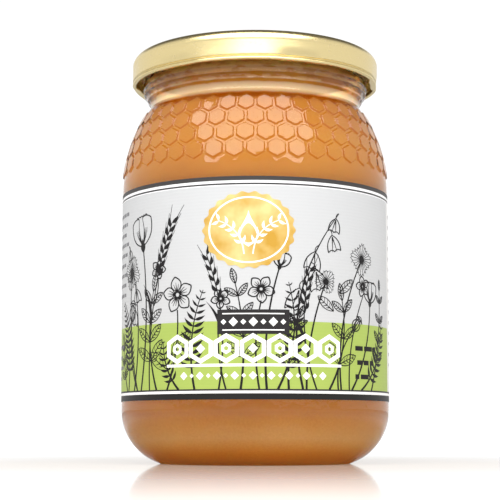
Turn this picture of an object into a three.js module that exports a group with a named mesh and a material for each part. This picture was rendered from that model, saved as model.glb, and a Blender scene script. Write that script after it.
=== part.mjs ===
// A glass honey jar with a honeycomb relief on its shoulder, filled with
// creamed honey, wrapped in a paper label and shut by a gold twist-off lid.
// Millimetres, +Z up, the jar standing on Z = 0 about the Z axis, its front
// towards -Y.

import * as THREE from 'three';
import { mergeGeometries } from 'three/addons/utils/BufferGeometryUtils.js';

// Driving dimensions of the glass
const bodyRadius = 39.1;
const wallThickness = 3.3;
const footRadius = 27.6;
const footInnerRadius = 23.5;
const pushUp = 1.6;
const heelRadius = 16.2;
const heelHeight = 15.5;
const baseThickness = 4.6;
const innerHeelRadius = 12.5;

// Shoulder: one large arc that starts upright at shoulderHeight
const shoulderHeight = 79;
const shoulderRadius = 45;
const shoulderAxis = bodyRadius - shoulderRadius;

// Honeycomb relief: rows of cells up the shoulder arc, staggered by half a cell
const cellsRound = 42;
const cellRows = 4;
const firstRowAngle = THREE.MathUtils.degToRad(9.4);
const rowAngle = THREE.MathUtils.degToRad(6.1);
const padScale = 0.74;
const padLift = 0.35;
const grooveLift = -0.1;
const marginRows = 0.92;

// Neck and twist-off finish
const neckRadius = 31.0;
const neckHeight = 105.6;
const coveRadius = 2.2;
const beadAxis = 32.0;
const beadHeight = 110.1;
const beadRadius = 1.3;
const finishRadius = 33.0;
const boreRadius = 28.9;
const rimHeight = 119.3;
const rimRounding = 1.3;
const threadStarts = 6;
const threadFoot = 113.6;
const threadClimb = 1.6;
const threadHalfWidth = 1.3;
const threadDepth = 1.1;
const threadRows = [111.9, 112.9, 113.9, 114.9, 115.9];

// Honey: a fill up to its level, just over the lower edge of the lid
const honeyGap = 0.3;
const honeyLevel = 112.4;
const meniscus = 0.7;

// Paper label: a sleeve with a narrow open strip at the back
const labelBottom = 17.9;
const labelTop = 78.3;
const labelGap = 0.15;
const labelThickness = 0.15;
const labelOpenSteps = 2;
const labelSeamStep = 34;

// Gold lug cap
const lidHeight = 120.1;
const lidRadius = 36.5;
const lidMetal = 0.42;
const lidShoulder = 1.9;
const lidBottom = 111.2;
const curlRadius = 0.55;
const lidPanelRadius = 27.2;
const lidPanelDrop = 0.8;
const lugDepth = 1.1;
const lugHalfWidth = THREE.MathUtils.degToRad(8);
const lugTurn = THREE.MathUtils.degToRad(21);

// Steps round the axis: two to a honeycomb cell outside, one to a cell inside
const stepsRound = 2 * cellsRound;
const innerSteps = cellsRound;
const lidSteps = 72;

// A profile point: its distance from the axis and its height
function at(radius, height) {
  return new THREE.Vector2(radius, height);
}

// Points of an arc about a centre in the profile plane, from one angle to
// another in degrees, both ends included
function arc(centre, radius, fromDegrees, toDegrees, steps) {
  const points = [];
  for (let i = 0; i <= steps; i += 1) {
    const degrees = fromDegrees + ((toDegrees - fromDegrees) * i) / steps;
    const angle = THREE.MathUtils.degToRad(degrees);
    points.push(at(
      centre.x + radius * Math.cos(angle),
      centre.y + radius * Math.sin(angle),
    ));
  }
  return points;
}

// Turns a profile about the Z axis. A profile that runs up the outside has its
// faces pointing away from the axis.
function turned(profile, steps) {
  const geometry = new THREE.LatheGeometry(profile, steps);
  geometry.rotateX(Math.PI / 2);
  return bare(geometry);
}

// Keeps only the positions and the triangles of a geometry
function bare(geometry) {
  geometry.deleteAttribute('uv');
  geometry.deleteAttribute('normal');
  return geometry;
}

// A surface from rows of points and triangles that index them
function faceted(points, triangles) {
  const geometry = new THREE.BufferGeometry().setFromPoints(points);
  geometry.setIndex(triangles);
  return geometry;
}

// A point at an angle step round the axis, counted from the front towards +X
function aroundAxis(radius, height, step, steps) {
  const angle = (2 * Math.PI * step) / steps;
  return new THREE.Vector3(
    radius * Math.sin(angle),
    -radius * Math.cos(angle),
    height,
  );
}

// Moves each vertex out from the axis by what lift(radius, angle, height) gives
function pushOut(geometry, lift) {
  const position = geometry.attributes.position;
  for (let i = 0; i < position.count; i += 1) {
    const x = position.getX(i);
    const y = position.getY(i);
    const radius = Math.hypot(x, y);
    const moved = radius + lift(radius, Math.atan2(x, -y), position.getZ(i));
    if (radius > 0) {
      position.setXY(i, (x * moved) / radius, (y * moved) / radius);
    }
  }
  return geometry;
}

// A point on the shoulder: a column is half a cell wide, a row one cell pitch,
// and lift is the height over the smooth shoulder
function onShoulder(column, row, lift) {
  const angle = firstRowAngle + rowAngle * row;
  const reach = shoulderRadius + lift;
  return aroundAxis(
    shoulderAxis + reach * Math.cos(angle),
    shoulderHeight + reach * Math.sin(angle),
    column,
    stepsRound,
  );
}

// The six corners of a honeycomb cell about its centre, in columns and rows
const cellCorners = [
  [1, -1 / 3], [1, 1 / 3], [0, 2 / 3], [-1, 1 / 3], [-1, -1 / 3], [0, -2 / 3],
];

// One honeycomb cell: a raised flat pad and the six slopes down to the groove
function honeycombCell(column, row) {
  const points = [onShoulder(column, row, padLift)];
  for (const [across, up] of cellCorners) {
    points.push(onShoulder(column + padScale * across, row + padScale * up, padLift));
  }
  for (const [across, up] of cellCorners) {
    points.push(onShoulder(column + across, row + up, grooveLift));
  }
  const triangles = [];
  for (let i = 0; i < 6; i += 1) {
    const pad = 1 + i;
    const nextPad = 1 + ((i + 1) % 6);
    const groove = pad + 6;
    const nextGroove = nextPad + 6;
    triangles.push(0, pad, nextPad);
    triangles.push(pad, groove, nextGroove, pad, nextGroove, nextPad);
  }
  return faceted(points, triangles);
}

// The strip between a plain ring and the zigzag edge of the outermost cells.
// side is -1 below the first row and +1 above the last one.
function honeycombEdge(row, side) {
  const points = [];
  for (let column = 0; column < stepsRound; column += 1) {
    const atCentre = (column + row) % 2 === 0;
    const zigzag = row + side * (atCentre ? 2 / 3 : 1 / 3);
    points.push(onShoulder(column, row + side * marginRows, 0));
    points.push(onShoulder(column, zigzag, grooveLift));
  }
  const triangles = [];
  for (let column = 0; column < stepsRound; column += 1) {
    const ring = 2 * column;
    const nextRing = 2 * ((column + 1) % stepsRound);
    const quad = [ring, nextRing, nextRing + 1, ring + 1];
    if (side > 0) {
      quad.reverse();
    }
    triangles.push(quad[0], quad[1], quad[2], quad[0], quad[2], quad[3]);
  }
  return faceted(points, triangles);
}

// The whole relief band of the shoulder, open at its lower and upper ring
function honeycombBand() {
  const pieces = [honeycombEdge(0, -1), honeycombEdge(cellRows - 1, 1)];
  for (let row = 0; row < cellRows; row += 1) {
    for (let cell = 0; cell < cellsRound; cell += 1) {
      pieces.push(honeycombCell(2 * cell + (row % 2), row));
    }
  }
  return mergeGeometries(pieces);
}

// Profile of the foot, heel and body, from the axis up to the relief band
function lowerProfile() {
  const heelCentre = at(bodyRadius - heelRadius, heelHeight);
  const bandFoot = THREE.MathUtils.radToDeg(firstRowAngle - marginRows * rowAngle);
  const heelEnd = -THREE.MathUtils.radToDeg(
    Math.acos((footRadius - heelCentre.x) / heelRadius),
  );
  return [
    at(0, pushUp),
    at(footInnerRadius * 0.55, pushUp * 0.75),
    at(footInnerRadius, 0),
    at(footRadius, 0),
    ...arc(heelCentre, heelRadius, heelEnd, 0, 6).slice(1),
    ...arc(at(shoulderAxis, shoulderHeight), shoulderRadius, 0, bandFoot, 1),
  ];
}

// Profile of the neck and the finish, from the relief band up to the rim
function upperProfile() {
  const bandTop = THREE.MathUtils.radToDeg(
    firstRowAngle + (cellRows - 1 + marginRows) * rowAngle,
  );
  const shoulderCentre = at(shoulderAxis, shoulderHeight);
  return [
    arc(shoulderCentre, shoulderRadius, bandTop, bandTop, 1)[0],
    ...arc(at(neckRadius + coveRadius, neckHeight), coveRadius, 210, 112, 4),
    ...arc(at(beadAxis, beadHeight), beadRadius, -65, 80, 3),
    ...threadRows.map((height) => at(finishRadius, height)),
    ...arc(at(finishRadius - rimRounding, rimHeight - rimRounding), rimRounding, 0, 90, 3),
  ];
}

// How far the screw thread stands out of the finish: ridges that climb
// slowly, one for each start, fading out at both ends
function threadLift(radius, angle, height) {
  if (!threadRows.some((row) => Math.abs(height - row) < 0.01)) {
    return 0;
  }
  const turn = (threadStarts * (angle + Math.PI)) / (2 * Math.PI);
  const along = turn - Math.floor(turn);
  const centre = threadFoot + threadClimb * along;
  const across = (height - centre) / threadHalfWidth;
  const fade = Math.min(1, 5 * along, 5 * (1 - along));
  return threadDepth * Math.max(0, 1 - across * across) * Math.max(0, fade);
}

// The flat of the rim, from the many-sided outside to the coarser bore
function rimRing() {
  const points = [];
  for (let step = 0; step < innerSteps; step += 1) {
    const outer = finishRadius - rimRounding;
    points.push(aroundAxis(outer, rimHeight, 2 * step, stepsRound));
    points.push(aroundAxis(outer, rimHeight, 2 * step + 1, stepsRound));
    points.push(aroundAxis(boreRadius + rimRounding, rimHeight, step, innerSteps));
  }
  const triangles = [];
  for (let step = 0; step < innerSteps; step += 1) {
    const here = 3 * step;
    const next = 3 * ((step + 1) % innerSteps);
    triangles.push(here, here + 1, here + 2);
    triangles.push(here + 1, next, next + 2);
    triangles.push(here + 1, next + 2, here + 2);
  }
  return faceted(points, triangles);
}

// The inner face of the glass as a profile from the axis up to the bore.
// inset is how far a second surface stays inside it.
function innerFace(inset) {
  const radius = bodyRadius - wallThickness - inset;
  const floorHeight = baseThickness + inset;
  const heel = innerHeelRadius - inset;
  const bore = boreRadius - inset;
  const reach = shoulderRadius - wallThickness - inset;
  const shoulderEnd = THREE.MathUtils.radToDeg(Math.acos((bore - shoulderAxis) / reach));
  return [
    at(0, floorHeight + pushUp * 0.8),
    at(radius - heel, floorHeight),
    ...arc(at(radius - heel, floorHeight + heel), heel, -90, 0, 4).slice(1),
    ...arc(at(shoulderAxis, shoulderHeight), reach, 0, shoulderEnd, 4),
  ];
}

// The hollow of the jar, running from the rim down to its floor
function boreProfile() {
  const lip = at(boreRadius + rimRounding, rimHeight - rimRounding);
  return [
    ...arc(lip, rimRounding, 90, 180, 2),
    ...innerFace(0).reverse(),
  ];
}

function glassJar() {
  const outside = pushOut(turned(upperProfile(), stepsRound), threadLift);
  return mergeGeometries([
    turned(lowerProfile(), stepsRound),
    honeycombBand(),
    outside,
    rimRing(),
    turned(boreProfile(), innerSteps),
  ]);
}

// The honey fills the hollow up to its level, and climbs the wall a little
function honey() {
  const bore = boreRadius - honeyGap;
  return turned([
    ...innerFace(honeyGap),
    at(bore, honeyLevel + meniscus),
    at(bore - 1.5, honeyLevel + meniscus * 0.2),
    at(0, honeyLevel),
  ], innerSteps);
}

// The label as a sleeve: an outline of two arcs with square ends, raised
// straight up. The open strip is at the back, on the +X side.
function label() {
  const inner = bodyRadius + labelGap;
  const outer = inner + labelThickness;
  const outline = [];
  const firstStep = labelSeamStep + labelOpenSteps;
  const lastStep = labelSeamStep + stepsRound;
  for (let step = firstStep; step <= lastStep; step += 1) {
    outline.push(aroundAxis(outer, 0, step, stepsRound));
  }
  for (let step = lastStep; step >= firstStep; step -= 1) {
    outline.push(aroundAxis(inner, 0, step, stepsRound));
  }
  const geometry = new THREE.ExtrudeGeometry(new THREE.Shape(outline), {
    depth: labelTop - labelBottom,
    bevelEnabled: false,
    steps: 1,
  });
  geometry.translate(0, 0, labelBottom);
  return bare(geometry);
}

// Profile of the lid: out over the recessed panel and the rounded shoulder,
// down the skirt, round the rolled curl and back up inside
function lidProfile() {
  const shoulderCentre = at(lidRadius - lidShoulder, lidHeight - lidShoulder);
  const curlCentre = at(lidRadius - curlRadius + 0.15, lidBottom + curlRadius);
  const curlTop = lidBottom + 2 * curlRadius;
  const panelTop = lidHeight - lidPanelDrop;
  const skin = [
    at(0, panelTop),
    at(lidPanelRadius, panelTop),
    at(lidPanelRadius + 1.4, lidHeight),
    ...arc(shoulderCentre, lidShoulder, 90, 0, 3),
    at(lidRadius, curlTop + 0.5),
    at(lidRadius - 0.2, curlTop),
    ...arc(curlCentre, curlRadius, 20, -200, 5),
    at(lidRadius - lidMetal, curlTop + 0.9),
    ...arc(shoulderCentre, lidShoulder - lidMetal, 0, 90, 1),
    at(lidPanelRadius + 1.2, lidHeight - lidMetal),
    at(lidPanelRadius - 0.2, panelTop - lidMetal),
    at(0, panelTop - lidMetal),
  ];
  return skin.reverse();
}

// How far the curl is pressed inwards to make the lugs that grip the thread
function lugLift(radius, angle, height) {
  const onCurl = height < lidBottom + 2 * curlRadius && radius < lidRadius - curlRadius;
  const pitch = (2 * Math.PI) / threadStarts;
  const turns = (angle - lugTurn) / pitch;
  const fromLug = pitch * Math.abs(turns - Math.round(turns));
  return onCurl && fromLug < lugHalfWidth ? -lugDepth : 0;
}

function lid() {
  return pushOut(turned(lidProfile(), lidSteps), lugLift);
}

const materials = {
  glass: new THREE.MeshStandardMaterial({
    color: 0xe4e9e4, roughness: 0.03, metalness: 0, transparent: true, opacity: 0.35,
  }),
  honey: new THREE.MeshStandardMaterial({ color: 0xd08c46, roughness: 0.35, metalness: 0 }),
  label: new THREE.MeshStandardMaterial({ color: 0xf1f3f3, roughness: 0.45, metalness: 0 }),
  gold: new THREE.MeshStandardMaterial({ color: 0xd8cc86, roughness: 0.22, metalness: 1 }),
};

function named(name, geometry, material) {
  const mesh = new THREE.Mesh(geometry, material);
  mesh.name = name;
  return mesh;
}

const honeyJar = new THREE.Group();
honeyJar.add(
  named('glass_jar', glassJar(), materials.glass),
  named('honey', honey(), materials.honey),
  named('label', label(), materials.label),
  named('lid', lid(), materials.gold),
);

export default honeyJar;
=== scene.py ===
import math

import bmesh
import bpy
import numpy as np
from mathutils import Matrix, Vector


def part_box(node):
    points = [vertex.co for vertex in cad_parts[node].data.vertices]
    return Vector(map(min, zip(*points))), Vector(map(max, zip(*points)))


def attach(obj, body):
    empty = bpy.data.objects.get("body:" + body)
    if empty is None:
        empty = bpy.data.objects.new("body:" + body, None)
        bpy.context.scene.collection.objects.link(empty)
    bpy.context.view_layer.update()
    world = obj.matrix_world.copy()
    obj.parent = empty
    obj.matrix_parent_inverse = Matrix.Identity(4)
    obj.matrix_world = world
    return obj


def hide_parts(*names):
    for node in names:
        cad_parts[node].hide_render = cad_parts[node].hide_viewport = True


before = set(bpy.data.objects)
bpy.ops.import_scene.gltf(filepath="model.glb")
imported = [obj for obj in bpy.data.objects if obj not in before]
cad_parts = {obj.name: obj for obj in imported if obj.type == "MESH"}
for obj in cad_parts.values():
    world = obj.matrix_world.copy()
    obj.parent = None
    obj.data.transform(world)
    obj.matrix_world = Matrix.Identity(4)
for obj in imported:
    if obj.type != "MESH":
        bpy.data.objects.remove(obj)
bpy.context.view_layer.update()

# A glass jar of creamed honey, about 79 mm across and 120 mm high, standing on
# the floor with the front of its label towards -Y. Shapes are worked out in
# millimetres and put into the meshes in metres.
MM = 0.001


def node_box_mm(name):
    """Lowest and highest corner of a frame node, in millimetres."""
    low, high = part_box(name)
    return np.array(low) / MM, np.array(high) / MM


# Sizes read from the frame
glass_high = node_box_mm("glass_jar")[1]
label_low, label_high = node_box_mm("label")
lid_low, lid_high = node_box_mm("lid")
BODY_RADIUS, RIM_HEIGHT = glass_high[0], glass_high[2]
HONEY_TOP = node_box_mm("honey")[1][2]
LABEL_BOTTOM, LABEL_TOP = label_low[2], label_high[2]
LID_BOTTOM, LID_HEIGHT = lid_low[2], lid_high[2]

# A length smaller than any step of a profile, for telling the outside of the
# glass from its bore
HAIR = 0.01

# Glass: wall, foot and heel
WALL = 3.3
FOOT_RADIUS = 27.6
FOOT_INNER_RADIUS = 23.5
PUSH_UP = 1.6
HEEL_RADIUS = 16.2
HEEL_HEIGHT = 15.5
BASE = 4.6
INNER_HEEL_RADIUS = 12.5

# Shoulder arc and the honeycomb relief on it. The sags are how far the arc
# falls away from a flat pad, half a cell to the side and half a cell up.
SHOULDER_HEIGHT = 79.0
SHOULDER_RADIUS = 45.0
SHOULDER_AXIS = BODY_RADIUS - SHOULDER_RADIUS
CELLS_ROUND = 42
CELL_ROWS = 4
FIRST_ROW_ANGLE = math.radians(9.4)
ROW_ANGLE = math.radians(6.1)
MARGIN_ROWS = 0.92
PAD_LIFT = 0.35
GROOVE_LIFT = -0.1
WALL_FOOT = 0.1
PAD_EDGE = 0.25
SAG_ASIDE = 0.106
SAG_UP = 0.085

# Amber tint that paints shade into the glass, as a share of its most
CELL_PAINTED_SHADE = 0.95
FOOT_PAINTED_SHADE = 0.7
FOOT_PAINTED_SHADE_TOP = 6.0
FOOT_PAINTED_SHADE_FADE = 5.0

# Neck and twist-off finish. A ring round the neck has a height, a half width
# and a reach.
NECK_RADIUS = 31.0
NECK_HEIGHT = 105.44
NECK_RISE = 4.4
NECK_RINGS = ((107.1, 0.4, 0.4), (108.8, 0.36, 0.35), (110.4, 0.45, 0.35))
NECK_FLARE = 0.25
NECK_MIDDLE = 108.6
NECK_HALF_HEIGHT = 1.8
NECK_WAVE = 0.13
FINISH_RADIUS = 33.0
FINISH_FOOT = 111.5
BORE_RADIUS = 28.9
RIM_ROUNDING = 1.3
THREAD_STARTS = 6
THREAD_FOOT = 113.6
THREAD_CLIMB = 1.6
THREAD_HALF_WIDTH = 1.3
THREAD_DEPTH = 1.1

# How much higher the neck's streaks stand than the waves of the glass
STREAK_RELIEF = 24.0

# Honey, whose top climbs to the glass at its edge
MENISCUS = 0.7
MENISCUS_WIDTH = 0.8
HONEY_LEVEL = HONEY_TOP - MENISCUS
INTO_WALL = 0.12

# Lid. A dent has an angle, a height, a size and a depth.
LID_RADIUS = 36.5
LID_METAL = 0.42
LID_SHOULDER = 2.8
CURL_RADIUS = 0.55
CURL_TOP = LID_BOTTOM + 2 * CURL_RADIUS
PANEL_RADIUS = 27.2
PANEL_DROP = 0.8
PANEL_STEP = 0.25
LUG_DEPTH = 1.1
LUG_PITCH = 2 * math.pi / THREAD_STARTS
LUG_TURN = math.radians(21)
LUG_HALF_WIDTH = math.radians(8)
LUG_DRAW = 0.35
DENTS = ((-1.27, 116.6, 0.6, 0.2), (-1.36, 115.6, 0.8, 0.24))

# Label and how far what is printed on it stands over it
PAPER = 0.1
LABEL_GAP = 0.03
LABEL_RADIUS = BODY_RADIUS + LABEL_GAP + PAPER
LABEL_SEAM = (math.radians(145.7), math.radians(154.3))
INK_PROUD = 0.035
PANEL_PROUD = 0.045
WHITE_PROUD = 0.055
FOIL_PROUD = 0.07
SEAL_INK_PROUD = 0.1

# Bands of the printed label from its lower edge up: height where each starts,
# and its colour. Bands that start between the heights of LABEL_FIELDS are
# plain outside the front panel.
GREEN_TOP = 38.7
LABEL_BANDS = (
    (17.9, "#1B1A19"), (19.35, "#F2F2F2"), (20.1, "#302F30"), (20.55, "#A2B759"),
    (GREEN_TOP, "#C4C5C6"), (75.55, "#F2F2F2"), (75.85, "#3C3A3A"), (76.25, "#F2F2F2"),
    (76.95, "#3C3938"),
)
LABEL_FIELDS = (20.5, 70.0)
PLAIN_FIELD = "#E6E6E4"
# The left and the right end of the label's front panel, from the middle of the
# front round the body
FRONT_PANEL = (-76.0, 52.0)

# Colours of the honey and the height of each, within the span of their ramp. Besides the honey's own
# colour they hold painted light and shade: pale stops under the lid and just below the label, dark stops
# at the bottom and under the neck.
HONEY_SPAN = 120.0
HONEY_TONES_WITH_PAINTED_LIGHT = (
    (5.4, "#B87422"), (8.4, "#BC8B54"), (14.4, "#AA6820"), (17.52, "#D18128"), (24.0, "#B06D24"),
    (81.6, "#BC751E"), (90.0, "#C07C22"), (100.56, "#BC7626"), (102.6, "#9A540E"),
    (104.4, "#FAD0A0"), (107.04, "#FAD0A0"), (108.6, "#FFC070"),
)


def arc(centre, radius, start, end, steps):
    """Points of an arc in the profile plane: centre plus radius times the cosine and the sine of
    angles that go evenly from start to end, in degrees."""
    angle = np.radians(np.linspace(start, end, steps + 1))
    return np.stack([centre[0] + radius * np.cos(angle), centre[1] + radius * np.sin(angle)], -1)


def smooth_step(value):
    """0 below 0, 1 above 1, and between them three squares less two cubes of the value."""
    t = np.clip(value, 0, 1)
    return t * t * (3 - 2 * t)


def rings(profile, columns, lift=None):
    """A profile carried round the axis: each profile point (r, z) becomes a ring of points
    (r sin a, -r cos a, z), with a going evenly round. lift(r, a, z) is added to r."""
    angle = np.arange(columns) * 2 * math.pi / columns
    radius = np.repeat(profile[:, :1], columns, 1)
    height = np.repeat(profile[:, 1:], columns, 1)
    if lift is not None:
        radius = radius + lift(radius, angle[None, :], height)
    return np.stack([radius * np.sin(angle), -radius * np.cos(angle), height], -1)


def ring_faces(first, rows, columns):
    """Quads between neighbouring rings. Ring i holds the points first + i columns + j, and j
    wraps round. They face outwards where the profile climbs."""
    i = np.arange(rows - 1)[:, None] * columns + first
    j = np.arange(columns)[None, :]
    here, right = i + j, i + (j + 1) % columns
    return np.stack([here, right, right + columns, here + columns], -1).reshape(-1, 4)


def pole_faces(pole, ring, columns, towards):
    """Triangles between a point in the middle and the ring of points round it. They face the
    side from which the ring runs anticlockwise, or the other side where towards is False."""
    j = np.arange(columns)
    here, right = ring + j, ring + (j + 1) % columns
    first, second = (here, right) if towards else (right, here)
    return np.stack([np.full(columns, pole), first, second], -1)


def stitch_faces(coarse, fine, columns, fine_above):
    """Triangles between a ring of that many points and a ring of twice as many."""
    k = np.arange(columns)
    c0, c1 = coarse + k, coarse + (k + 1) % columns
    f0, f1, f2 = fine + 2 * k, fine + 2 * k + 1, fine + (2 * k + 2) % (2 * columns)
    triangles = ((c0, c1, f1), (c0, f1, f0), (c1, f2, f1))
    faces = np.concatenate([np.stack(corners, -1) for corners in triangles])
    return faces if fine_above else faces[:, ::-1]


def piece(name, points, faces, material):
    """Puts points in millimetres and arrays of faces into a smooth mesh that rides on the jar."""
    mesh = bpy.data.meshes.new(name)
    mesh.from_pydata((points.reshape(-1, 3) * MM).tolist(), [], [f for a in faces for f in a.tolist()])
    mesh.shade_smooth()
    mesh.materials.append(material)
    made = bpy.data.objects.new(name, mesh)
    bpy.context.scene.collection.objects.link(made)
    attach(made, "root")
    return made


def turned(name, profile, columns, material, lift=None):
    """A closed surface of revolution whose profile starts below and ends above on the axis."""
    body = rings(profile[1:-1], columns, lift)
    points = np.concatenate([
        [[0, 0, profile[0, 1]]], body.reshape(-1, 3), [[0, 0, profile[-1, 1]]],
    ])
    last = len(points) - 1
    faces = [
        ring_faces(1, len(body), columns),
        pole_faces(0, 1, columns, False),
        pole_faces(last, last - columns, columns, True),
    ]
    return piece(name, points, faces, material)


def linear(code):
    """An sRGB hex colour as the linear RGBA that the shaders work in."""
    channel = np.array([int(code[i:i + 2], 16) for i in (1, 3, 5)]) / 255
    value = np.where(channel <= 0.04045, channel / 12.92, ((channel + 0.055) / 1.055) ** 2.4)
    return (*value.tolist(), 1.0)


def add(tree, kind, settings=(), links=()):
    """Adds a node. settings are its properties or the values of its inputs, and links are what
    feeds its inputs, both by name or number. A node as a link stands for its first output in
    use."""
    made = tree.nodes.new("ShaderNode" + kind)
    for key, value in dict(settings).items():
        if isinstance(key, int) or key in made.inputs:
            made.inputs[key].default_value = value
        else:
            setattr(made, key, value)
    for key, source in dict(links).items():
        if isinstance(source, bpy.types.Node):
            source = next(socket for socket in source.outputs if socket.enabled)
        tree.links.new(source, made.inputs[key])
    return made


def new_material(name):
    """An empty material, its node tree, and a point's place on the piece."""
    material = bpy.data.materials.new(name)
    material.use_nodes = True
    tree = material.node_tree
    tree.nodes.clear()
    return material, tree, add(tree, "TexCoord").outputs["Object"]


def set_stops(ramp, stops):
    """Puts pairs of a position and a colour code on a colour ramp."""
    for k, (position, code) in enumerate(stops):
        entry = ramp.elements[k] if k < 2 else ramp.elements.new(position)
        entry.position, entry.color = position, linear(code)


def pressed_glass():
    """Pressed soda-lime glass, fire-polished: clear, with a faint grey-green tint, sharp reflections and
    the slow waviness that a mould leaves, about 9 mm from crest to crest. The neck has level streaks
    about 4 mm long. An amber tint paints shade into the glass, as honey seen darker through it: at the
    sides of the pads, at the foot, and in the neck's rings and heavier streaks. Lamps shine through on
    to the honey."""
    material, tree, place = new_material("pressed_flint_glass")
    wave = add(tree, "TexNoise", {"Scale": 1 / (9 * MM), "Detail": 3.0}, {"Vector": place})
    flat = add(tree, "VectorMath", {"operation": "MULTIPLY", 1: (1, 1, 3)}, {0: place})
    streak = add(tree, "TexNoise", {"Scale": 1 / (4 * MM), "Detail": 2.0}, {"Vector": flat})
    height = add(tree, "SeparateXYZ", {}, {0: place}).outputs["Z"]
    on_neck = add(tree, "MapRange", {
        "interpolation_type": "SMOOTHSTEP", "From Min": 104.5 * MM, "From Max": 107 * MM,
    }, {"Value": height})
    flow = add(tree, "Math", {"operation": "MULTIPLY"}, {0: streak, 1: on_neck})
    relief = add(tree, "Math", {"operation": "MULTIPLY_ADD", 1: STREAK_RELIEF}, {0: flow, 2: wave})
    bump = add(tree, "Bump", {"Strength": 0.15, "Distance": 0.4 * MM}, {"Height": relief})
    # Painted shade: an amber tint from the heavier neck streaks and from the mesh's attribute
    heavy = add(tree, "MapRange", {
        "interpolation_type": "SMOOTHSTEP", "From Min": 0.47, "From Max": 0.6, "To Max": 0.6,
    }, {"Value": flow})
    painted_shade_share = add(tree, "Attribute", {"attribute_name": "painted_shade_on_glass"}).outputs["Fac"]
    amber = add(tree, "Math", {"operation": "ADD", "use_clamp": True}, {0: painted_shade_share, 1: heavy})
    tint = add(tree, "Mix", {"data_type": "RGBA", 6: linear("#F9FBF9"), 7: linear("#C8801A")}, {
        0: amber})
    glass = add(tree, "BsdfPrincipled", {
        "Roughness": 0.02, "IOR": 1.52, "Transmission Weight": 1.0,
    }, {"Base Color": tint, "Normal": bump})
    clear = add(tree, "BsdfTransparent", {"Color": linear("#F4F6F2")})
    path = add(tree, "LightPath").outputs
    lamp = add(tree, "Math", {"operation": "MAXIMUM"}, {
        0: path["Is Shadow Ray"], 1: path["Is Diffuse Ray"]})
    both = add(tree, "MixShader", {}, {0: lamp, 1: glass, 2: clear})
    add(tree, "OutputMaterial", {}, {"Surface": both})
    return material


def creamed_honey():
    """Creamed honey: finely crystallised, so it is opaque and soft looking, light orange-tan, with slow
    drifts of colour about 25 mm wide and fine crystals about 0.6 mm wide. Its colour by height paints
    light and shade: painted light makes it paler about 8 mm up, just below the label and at the top
    under the lid; painted shade makes it deeper at the very bottom and in a band under the neck."""
    material, tree, place = new_material("creamed_honey")
    height = add(tree, "SeparateXYZ", {}, {0: place}).outputs["Z"]
    level = add(tree, "Math", {"operation": "DIVIDE", 1: HONEY_SPAN * MM}, {0: height})
    # The ramp by height holds painted light and shade as well as the honey's colour
    tone = add(tree, "ValToRGB", {}, {0: level})
    set_stops(tone.color_ramp, [(stop / HONEY_SPAN, code) for stop, code in HONEY_TONES_WITH_PAINTED_LIGHT])
    drift = add(tree, "TexNoise", {"Scale": 1 / (25 * MM), "Detail": 2.0}, {"Vector": place})
    grain = add(tree, "TexNoise", {"Scale": 1 / (0.6 * MM), "Detail": 1.0}, {"Vector": place})
    cloudy = add(tree, "Mix", {"data_type": "RGBA", "blend_type": "SOFT_LIGHT", 0: 0.3}, {
        6: tone, 7: drift})
    flecked = add(tree, "Mix", {"data_type": "RGBA", "blend_type": "SOFT_LIGHT", 0: 0.18}, {
        6: cloudy, 7: grain})
    honey = add(tree, "BsdfPrincipled", {
        "Roughness": 0.6, "IOR": 1.49, "Specular IOR Level": 0.1, "Subsurface Weight": 0.5,
        "Subsurface Scale": 5 * MM, "Subsurface Radius": (1.0, 0.42, 0.14),
    }, {"Base Color": flecked})
    add(tree, "OutputMaterial", {}, {"Surface": honey})
    return material


def gold_lacquer():
    """Tinplate under transparent gold lacquer: pale yellow metal, bright, with the very shallow
    unevenness of a drawn sheet, about 14 mm wide, and a grain of 0.8 mm."""
    material, tree, place = new_material("gold_lacquered_tinplate")
    sheet = add(tree, "TexNoise", {"Scale": 1 / (14 * MM), "Detail": 1.0}, {"Vector": place})
    grain = add(tree, "TexNoise", {"Scale": 1 / (0.8 * MM), "Detail": 2.0}, {"Vector": place})
    rough = add(tree, "MapRange", {"To Min": 0.22, "To Max": 0.3}, {"Value": grain})
    bump = add(tree, "Bump", {"Strength": 0.15, "Distance": 0.5 * MM}, {"Height": sheet})
    metal = add(tree, "BsdfPrincipled", {"Base Color": linear("#EDD9A0"), "Metallic": 1.0}, {
        "Roughness": rough, "Normal": bump})
    add(tree, "OutputMaterial", {}, {"Surface": metal})
    return material


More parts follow.
